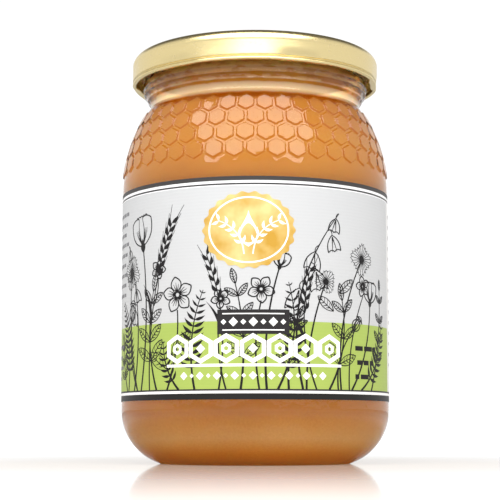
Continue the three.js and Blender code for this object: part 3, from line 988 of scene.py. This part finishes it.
def meadow():
    """The drawing on the front: a bed of wild plants that rise from the ruled line. Each row
    holds a plant and its measures, in millimetres on the label's plane."""
    foot = 20.6
    plants = (
        (fern, (-45, foot), (-50, 46), -0.1, 13, 4.2),
        (seed_clock, (-39, foot), (-43, 54), 0.07, 4.4, 26),
        (poppy, (-37, foot), (-36.5, 61), -0.05, 7.5),
        (seed_pod, (-39, foot), (-43, 40), 0.1, 4.2),
        (grass_ear, (-33, foot), (-24.5, 66.5), 0.06, 13, 3.0),
        (sprig, (-30, foot), (-31.5, 48), 0.08, 4, 7.5),
        (rose, (-22.5, 46.5), 5.0, 10),
        (stalk, (-26, foot), (-22.5, 42.4), -0.06, (0.5, 0.3)),
        (outlined_leaf, (-24.6, 30), (-18.2, 36.5)),
        (outlined_leaf, (-25.6, 26), (-33, 31)),
        (fern, (-17, foot), (-14.5, 47.5), 0.08, 12, 4.2),
        (grass_ear, (-10, foot), (-13.5, 57), -0.07, 9, 2.6),
        (sprig, (-4, foot), (-5.5, 49), -0.05, 4, 6.2),
        (rose, (1.5, 47.5), 3.8, 40),
        (stalk, (1, foot), (1.5, 44.4), 0.05, (0.45, 0.3)),
        (fern, (6, foot), (9, 49.5), -0.1, 12, 4.0),
        (bells, (13, foot), (24.5, 69), 0.13, 5, 5.6),
        (grass_ear, (17, foot), (15, 52.5), 0.08, 9, 2.6),
        (sprig, (21, foot), (25.5, 45), -0.1, 3, 7.0),
        (seed_clock, (25, foot), (33.5, 57), 0.09, 4.2, 24),
        (poppy, (29, foot), (37.5, 45), -0.08, 5.2),
        (seed_pod, (24, foot), (29.5, 37), 0.12, 3.4),
        (fern, (33, foot), (45, 41), -0.12, 11, 3.8),
        (sprig, (-46, foot), (-50.5, 34), 0.05, 3, 5.0),
        (sprig, (9, foot), (12, 40), 0.06, 3, 5.0),
        (seed_clock, (14, foot), (20, 50), 0.05, 3.0, 20),
        (fern, (-22, foot), (-27.5, 34), 0.1, 8, 3.0),
        (rose, (34, 49.5), 3.0, 15),
        (stalk, (28, foot), (34, 46.8), 0.07, (0.4, 0.25)),
        (rose, (-9.5, 45), 2.8, 30),
        (stalk, (-8, foot), (-9.5, 42.5), 0.06, (0.4, 0.25)),
        (sprig, (38, foot), (43.5, 49), -0.06, 4, 4.6),
        (bells, (-41, foot), (-45.5, 62), -0.1, 4, 4.0),
        (rose, (-29.5, 54), 2.8, 50),
        (stalk, (-31.3, 44), (-29.5, 51.5), -0.08, (0.35, 0.22)),
        (poppy, (3, foot), (6.5, 53.5), 0.05, 3.6),
        (outlined_leaf, (5.5, 34), (11, 38.5)),
        (outlined_leaf, (24.5, 47), (29.5, 51)),
        (outlined_leaf, (22.5, 42), (17.5, 46)),
    )
    strokes = [stroke for draw, *measures in plants for stroke in draw(*measures)]
    return [(points, PEN_WEIGHT * width) for points, width in strokes]


def banner():
    """A dark panel with a row of white lozenges between two fine rules, over the drawing."""
    middle, height = -0.6, GREEN_TOP
    half_width, thick = 9.8, 6.6
    half_rule, rule_away, rule_thick = 8.4, 2.2, 0.3
    pitch, large, small = 2.7, 2.5, 1.5
    panel = bar(middle - half_width, middle + half_width, height, thick)
    ribbons("label_banner", panel, DARK_INK, PANEL_PROUD)
    rules = [run for away in (rule_away, -rule_away)
             for run in bar(middle - half_rule, middle + half_rule, height + away, rule_thick)]
    gems = [lozenge((middle + pitch * k, height), large if k % 2 == 0 else small) for k in range(-3, 4)]
    ribbons("banner_ornament", rules + gems, WHITE_INK, WHITE_PROUD)


def white_print():
    """The white ornament on the green field: a row of honeycomb cells with a lozenge or a smaller
    cell in each by turns, a rule below, and a row of small lozenges."""
    middle, cells_height, rule_height, gems_height = -0.7, 31.6, 27.1, 24.3
    radius, pen, gap = 3.75, 1.15, 0.75
    rule_left, rule_right, rule_thick = -26.0, 25.0, 0.75
    pitch = radius * math.sqrt(3) + gap
    strokes = []
    for k in range(-3, 4):
        centre = (middle + k * pitch, cells_height)
        strokes.append(hexagon_ring(centre, radius - 0.35, pen))
        strokes.append(lozenge(centre, 2.6) if k % 2 == 0 else hexagon_ring(centre, 1.1, 0.8))
    strokes += bar(rule_left, rule_right, rule_height, rule_thick)
    for k in range(-8, 9):
        strokes.append(lozenge((middle + 2.45 * k, gems_height), 2.2 if k % 2 == 0 else 1.2))
    ribbons("white_ornament", strokes, WHITE_INK, WHITE_PROUD)


def small_print():
    """Rows of short bars where small print stands: dark at the right of the front, and grey at
    its left and on the back panel. The rows of a block go down evenly and end raggedly."""
    rng = np.random.default_rng(7)
    shortest, longest, space = 1.6, 4.2, 0.7

    def row(left, right, height, thick):
        """Bars of drawn lengths with even spaces, as the words of one line."""
        bars, at = [], left
        while at < right - 1:
            word = min(rng.uniform(shortest, longest), right - at)
            bars += bar(at, at + word, height, thick)
            at += word + space
        return bars

    dark = [b for k in range(3) for b in row(30.5 + 0.8 * (k % 2), 40.5 - 1.4 * k, 32.2 - 3.9 * k, 1.3)]
    ribbons("dark_small_print", dark, BLACK_INK, INK_PROUD)
    grey = [b for k in range(9) for b in row(-72, -46 - 1.2 * (k % 3), 71.5 - 2.9 * k, 1.0)]
    grey += [b for k in range(4) for b in row(-72, -50.5 - 1.8 * (k % 2), 33.5 - 3.0 * k, 1.0)]
    grey += [b for k in range(15) for b in row(55.5, 88 - 3 * (k % 4), 72 - 3.1 * k, 0.9)]
    ribbons("grey_small_print", grey, GREY_INK, INK_PROUD)


# The seal on the label: its middle, its half axes and the scallops of its edge
SEAL_MIDDLE = np.array([-1.9, 63.6])
SEAL_REACH = np.array([12.6, 10.3])
SCALLOPS = 22
SCALLOP_DEPTH = 0.028


def on_seal(share, angle):
    """A point of the seal's oval, a share of the way out from its middle."""
    way = np.stack([np.cos(angle), np.sin(angle)], -1)
    return SEAL_MIDDLE + np.asarray(share)[..., None] * SEAL_REACH * way


def gold_seal():
    """A scalloped oval of gold foil. Its half axes are multiplied by 1 plus the scallop's depth
    times the cosine of 22 angles, which fades inwards with the sixth power of the way out."""
    rows, columns = 10, 8 * SCALLOPS
    angle = np.arange(columns) * 2 * math.pi / columns
    share = np.linspace(0, 1, rows + 1)[1:, None]
    disc = on_seal(share * (1 + SCALLOP_DEPTH * np.cos(SCALLOPS * angle) * share ** 6), angle)
    hub = SEAL_MIDDLE[None]
    face = np.concatenate([hub, disc.reshape(-1, 2)])
    back = np.concatenate([disc[-1], hub])
    points = np.concatenate([on_label(*face.T, FOIL_PROUD), on_label(*back.T, -PAPER / 2)])
    last = len(points) - 1
    faces = [
        pole_faces(0, 1, columns, True),
        ring_faces(1, rows + 1, columns)[:, ::-1],
        pole_faces(last, last - columns, columns, False),
    ]
    made = piece("gold_seal", points, faces, FOIL)
    made.data.set_sharp_from_angle(angle=math.radians(40))


def seal_ornament():
    """White ink on the seal: an oval line in six strokes, and a drop between two sprays of
    leaves."""
    sixth = math.pi / 3
    strokes = [(on_seal(np.full(STROKE, 0.86), (k + ALONG) * sixth), np.full(STROKE, 0.45))
               for k in range(6)]
    drop, _ = line(SEAL_MIDDLE + [0, 5.2], SEAL_MIDDLE - [0, 4.6])
    strokes.append((drop, 0.1 + 5.4 * np.sin(math.pi * ALONG ** 1.7) ** 0.9))
    for side in (1, -1):
        foot, tip = SEAL_MIDDLE + [1.2 * side, -6.6], SEAL_MIDDLE + [8.2 * side, 2.6]
        stem = line(foot, tip, 0.16 * side, (0.35, 0.2))
        strokes.append(stem)
        for t in np.linspace(0.25, 1.0, 5):
            at, way = along(stem, t)
            for half in (1, -1):
                strokes.append(blade(at, at + 2.3 * turned_by(way, 46 * half), 0.75, 0.1 * half))
    ribbons("seal_ornament", strokes, WHITE_INK, SEAL_INK_PROUD)


# Ramps of the light table: each goes smoothly between two distances from the middle, in metres, from one
# value to another. Near the jar the first ramp holds a painted warm light from the honey, and the third
# and fourth paint a shadow round its foot.
TABLE_RAMPS = {
    "clear": (0.05, 0.15, 0.0, 1.0),
    "sheen": (0.1, 0.32, 0.77, 0.45),
    "glow_and_painted_shadow": (0.1, 0.4, 0.26, 0.8),
    "painted_shadow_by_foot": (0.05, 0.12, 0.85, 0.0),
}
TABLE_HALF = 6.0
# Glow added away from the jar; near it the table is dimmer, as painted shadow
NEAR_GLOW = 0.36
TABLE_LIGHT = 0.45


def light_table():
    """The floor: a white light table under clear gloss. Near the jar its white is warmed by painted
    light from the honey and dimmed by a painted shadow, and further out it glows to plain white. The
    sheen is a ramp times the cube of how far the face is turned away. What the pieces mirror and refract
    of it is a painted shadow, dark brown by the jar's foot."""
    side = TABLE_HALF
    mesh = bpy.data.meshes.new("floor")
    mesh.from_pydata([(-side, -side, 0), (side, -side, 0), (side, side, 0), (-side, side, 0)],
                     [], [(0, 1, 2, 3)])
    floor = bpy.data.objects.new("floor", mesh)
    bpy.context.scene.collection.objects.link(floor)
    material, tree, place = new_material("white_light_table")
    mesh.materials.append(material)
    away = add(tree, "VectorMath", {"operation": "LENGTH"}, {0: place})
    ramp = {
        name: add(tree, "MapRange", {
            "interpolation_type": "SMOOTHSTEP", "From Min": start, "From Max": end,
            "To Min": value, "To Max": last_value,
        }, {"Value": away})
        for name, (start, end, value, last_value) in TABLE_RAMPS.items()
    }
    path = add(tree, "LightPath").outputs
    # Painted warm light from the honey near the jar, going to plain white further out
    white = add(tree, "Mix", {"data_type": "RGBA", 6: linear("#DACAB8"), 7: linear("#DADADA")}, {
        0: ramp["clear"]})
    matt = add(tree, "BsdfDiffuse", {}, {"Color": white})
    # The glow the camera sees is dimmer near the jar: a painted shadow
    glow = add(tree, "Math", {"operation": "MULTIPLY_ADD", 1: NEAR_GLOW}, {
        0: ramp["clear"], 2: ramp["glow_and_painted_shadow"]})
    lighting = add(tree, "Math", {"operation": "MULTIPLY", 1: TABLE_LIGHT}, {0: path["Is Diffuse Ray"]})
    strength = add(tree, "Math", {"operation": "MULTIPLY_ADD"}, {
        0: path["Is Camera Ray"], 1: glow, 2: lighting})
    light = add(tree, "Emission", {"Color": linear("#FFFFFF")}, {"Strength": strength})
    lit = add(tree, "AddShader", {}, {0: matt, 1: light})
    direct = add(tree, "Math", {"operation": "MAXIMUM"}, {
        0: path["Is Camera Ray"], 1: path["Is Diffuse Ray"]})
    # Painted shadow: mirrored and refracted rays see a dark brown table by the foot
    mirrored = add(tree, "Math", {"operation": "SUBTRACT", 0: 1.0}, {1: direct})
    painted_shadow_by_foot = add(tree, "Math", {"operation": "MULTIPLY"}, {0: mirrored, 1: ramp["painted_shadow_by_foot"]})
    shade = add(tree, "BsdfDiffuse", {"Color": linear("#4A2E14")})
    table = add(tree, "MixShader", {}, {0: painted_shadow_by_foot, 1: lit, 2: shade})
    facing = add(tree, "LayerWeight", {"Blend": 0.5}).outputs["Facing"]
    grazing = add(tree, "Math", {"operation": "POWER", 1: 3.0}, {0: facing})
    share = add(tree, "Math", {"operation": "MULTIPLY"}, {0: ramp["sheen"], 1: grazing})
    gloss = add(tree, "BsdfGlossy", {"Color": linear("#FFFFFF"), "Roughness": 0.05})
    both = add(tree, "MixShader", {}, {0: share, 1: table, 2: gloss})
    add(tree, "OutputMaterial", {}, {"Surface": both})


def white_surround():
    """The camera sees plain white. What lights the pieces is white round the horizon, slightly
    less so behind the jar, and dim above it except at the sides."""
    world = bpy.data.worlds.new("white_surround")
    bpy.context.scene.world = world
    world.use_nodes = True
    tree = world.node_tree
    tree.nodes.clear()
    generated = add(tree, "TexCoord").outputs["Generated"]
    towards = add(tree, "SeparateXYZ", {}, {0: generated}).outputs
    aside = add(tree, "Math", {"operation": "ABSOLUTE"}, {0: towards["X"]})
    above = add(tree, "MapRange", {
        "interpolation_type": "SMOOTHSTEP", "From Min": 0.5, "From Max": 0.8,
        "To Min": 0.1, "To Max": 0.8,
    }, {"Value": aside})
    round_jar = add(tree, "MapRange", {
        "interpolation_type": "SMOOTHSTEP", "From Min": 0.1, "From Max": 0.7,
        "To Min": 0.94, "To Max": 0.9,
    }, {"Value": towards["Y"]})
    around = add(tree, "MapRange", {
        "interpolation_type": "SMOOTHSTEP", "From Min": 0.38, "From Max": 0.56,
    }, {"Value": towards["Z"], "To Min": round_jar, "To Max": above})
    seen = add(tree, "LightPath").outputs["Is Camera Ray"]
    strength = add(tree, "Mix", {3: 1.05}, {0: seen, 2: around})
    light = add(tree, "Background", {"Color": linear("#FFFFFF")}, {"Strength": strength})
    add(tree, "OutputWorld", {}, {"Surface": light})


def softbox(name, place, aim, size, radiance, only=None):
    """A rectangle of light at a place, facing another, all in metres. An even lamp's power is pi
    times its area times its radiance. It may light only the pieces of one collection."""
    lamp = bpy.data.lights.new(name, "AREA")
    lamp.shape = "RECTANGLE"
    lamp.size, lamp.size_y = size
    lamp.energy = math.pi * size[0] * size[1] * radiance
    made = bpy.data.objects.new(name, lamp)
    made.location = place
    way = Vector(aim) - Vector(place)
    made.rotation_euler = way.to_track_quat("-Z", "Y").to_euler()
    made.light_linking.receiver_collection = only
    bpy.context.scene.collection.objects.link(made)
    return lamp


def collection_of(name, pieces):
    """A collection of the named pieces, for a lamp that lights only them."""
    made = bpy.data.collections.new(name)
    for piece_name in pieces:
        made.objects.link(bpy.data.objects[piece_name])
    return made


# Width and radiance of the cards that light the lid
LID_CARDS = ((1.25, 0.6), (0.95, 0.7), (0.7, 0.9), (0.45, 0.9))


def lamps():
    """One wide softbox overhead; four cards that light only the lid, the nearer the narrower, so
    that their light fades to the sides; and a narrow strip across the neck, which lights only
    the glass and the honey."""
    softbox("overhead_softbox", (-0.02, -0.515, 0.755), (0, 0, 0.084), (1.4, 0.75), 4.0)
    lid_only = collection_of("lid_only", ["lug_cap"])
    for k, (width, radiance) in enumerate(LID_CARDS):
        away = 1.06 - 0.02 * k
        place = (-0.02, -away, 0.116 + 0.3 * away)
        softbox(f"lid_card_{k}", place, (0, 0, 0.116), (width, 0.2), radiance, lid_only)
    neck_only = collection_of("neck_only", ["glass_jar_pressed", "honey_fill"])
    place, aim = (0, -0.5, 0.05), (0, -0.031, 0.1095)
    strip = softbox("neck_strip_light", place, aim, (0.5, 0.01), 3.5, neck_only)
    strip.spread = math.radians(2.5)


def camera():
    """The camera stands low in front of the jar and looks slightly up. The photograph keeps its
    upright edges parallel, so the frame is shifted up by a tenth of its width instead of
    tilting further."""
    focal_pixels, frame_pixels, sensor = 1427.0, 500.0, 36.0
    distance, eye, aside = 420.7, 9.8, -1.495
    pitch = math.radians(5.2)
    made = bpy.data.cameras.new("camera")
    made.sensor_width = sensor
    made.lens = focal_pixels / frame_pixels * sensor
    made.shift_y = 0.1
    made.clip_start, made.clip_end = 0.01, 50
    holder = bpy.data.objects.new("camera", made)
    holder.location = (aside * MM, -distance * MM, eye * MM)
    holder.rotation_euler = (math.pi / 2 + pitch, 0, 0)
    bpy.context.scene.collection.objects.link(holder)
    bpy.context.scene.camera = holder
    bpy.context.scene.view_settings.view_transform = "Standard"


camera()
glass_jar()
honey_fill()
lug_cap()
light_table()
white_surround()
lamps()
label_sleeve()
ribbons("meadow_drawing", meadow(), BLACK_INK, INK_PROUD)
banner()
white_print()
small_print()
gold_seal()
seal_ornament()
